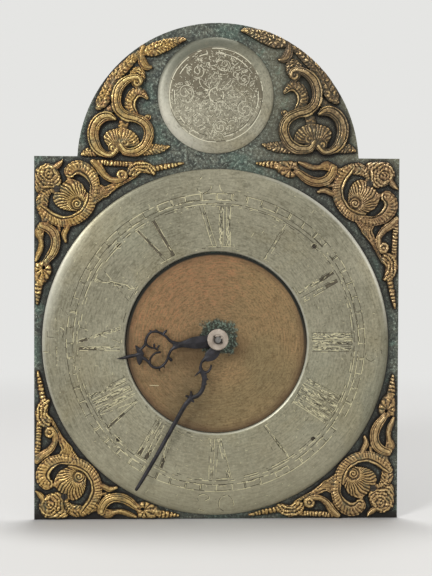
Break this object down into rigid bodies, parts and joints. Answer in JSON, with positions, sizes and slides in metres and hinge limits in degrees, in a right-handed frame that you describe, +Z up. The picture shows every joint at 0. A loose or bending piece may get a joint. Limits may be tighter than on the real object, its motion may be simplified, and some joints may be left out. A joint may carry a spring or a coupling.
{
  "type": "clock movement",
  "caption": "Posted iron clock movement behind an arched dial: chapter ring, two hands, wheels, pinions, anchor and crutch in a frame of plates, posts and bars.",
  "frame": {"origin": "centre of the bottom plate's underside, where the movement rests on its seatboard", "axes": "+Z up, the dial faces -Y, +X to the right of someone facing the dial"},
  "size_m": [0.28, 0.1516, 0.3804],
  "materials": {
    "dial_iron": "matt, granular, weathered grey-green",
    "pewter": "worn silvering, satin",
    "dial_brass": "dull brushed brass, patinated",
    "gilt_brass": "cast and gilded, worn",
    "blued_steel": "dark blue-black, satin",
    "iron": "forged, dull",
    "steel": "turned, grey",
    "brass": "dull brass"
  },
  "bodies": {
    "frame": {"dial_plate": "dial_iron", "centre_disc": "dial_brass", "chapter_ring": "pewter", "ring_rivets": "iron", "arch_boss": "pewter", "boss_rivet": "brass", "spandrel_top_left": "gilt_brass", "spandrel_top_right": "gilt_brass", "spandrel_bottom_left": "gilt_brass", "spandrel_bottom_right": "gilt_brass", "arch_spandrel_left": "gilt_brass", "arch_spandrel_right": "gilt_brass", "spandrel_screws": "iron", "dial_feet": "brass", "dial_foot_pins": "steel", "hand_pin": "steel", "bottom_plate": "iron", "top_plate": "iron", "post_front_left": "iron", "post_front_right": "iron", "post_back_left": "iron", "post_back_right": "iron", "post_nuts": "iron", "front_bar": "iron", "back_bar": "iron", "bar_wedges": "iron", "great_bush_front": "brass", "great_bush_back": "brass", "pivot_bushes": "brass", "hand_stud": "steel", "back_cock": "brass", "cock_screws": "steel"},
    "great": {"great_arbor": "steel", "great_wheel": "brass", "great_collet": "brass", "sprocket_washer": "steel", "driver_wheel": "brass", "friction_spring": "brass", "driver_pin": "steel"},
    "sprocket": {"chain_sprocket": "brass", "click_spring": "steel", "click_rivet": "steel"},
    "second": {"second_arbor": "steel", "second_wheel": "brass"},
    "escape": {"escape_arbor": "steel", "escape_wheel": "brass"},
    "pallets": {"pallet_arbor": "steel", "anchor": "steel", "crutch": "steel"},
    "minute": {"minute_pipe": "steel", "minute_wheel": "brass", "minute_hand": "blued_steel", "hand_collet": "pewter"},
    "hour": {"hour_pipe": "brass", "hour_wheel": "brass", "hour_hand": "blued_steel"}
  },
  "joints": [
    {"name": "great_wheel_turn", "type": "hinge", "parent": "frame", "child": "great", "pos_m": [0, 0, 0.05], "axis": [0, 1, 0], "continuous": true},
    {"name": "sprocket_turn", "type": "hinge", "parent": "great", "child": "sprocket", "pos_m": [0, 0, 0.05], "axis": [0, 1, 0], "continuous": true},
    {"name": "second_wheel_turn", "type": "hinge", "parent": "frame", "child": "second", "pos_m": [0, 0, 0.0976], "axis": [0, 1, 0], "continuous": true},
    {"name": "escape_wheel_turn", "type": "hinge", "parent": "frame", "child": "escape", "pos_m": [0, 0, 0.13225], "axis": [0, 1, 0], "continuous": true},
    {"name": "minute_hand_turn", "type": "hinge", "parent": "frame", "child": "minute", "pos_m": [0, 0, 0.089], "axis": [0, 1, 0], "continuous": true},
    {"name": "hour_hand_turn", "type": "hinge", "parent": "frame", "child": "hour", "pos_m": [0, 0, 0.089], "axis": [0, 1, 0], "continuous": true},
    {"name": "pallets_swing", "type": "hinge", "parent": "frame", "child": "pallets", "pos_m": [0, 0, 0.16195], "axis": [0, 1, 0], "range_deg": [-2.5, 2.5]}
  ],
  "couplings": [
    {"joint": "second_wheel_turn", "follows": "great_wheel_turn", "ratio": -7.5},
    {"joint": "escape_wheel_turn", "follows": "great_wheel_turn", "ratio": 60},
    {"joint": "minute_hand_turn", "follows": "great_wheel_turn", "ratio": -1},
    {"joint": "hour_hand_turn", "follows": "great_wheel_turn", "ratio": -0.083333}
  ]
}
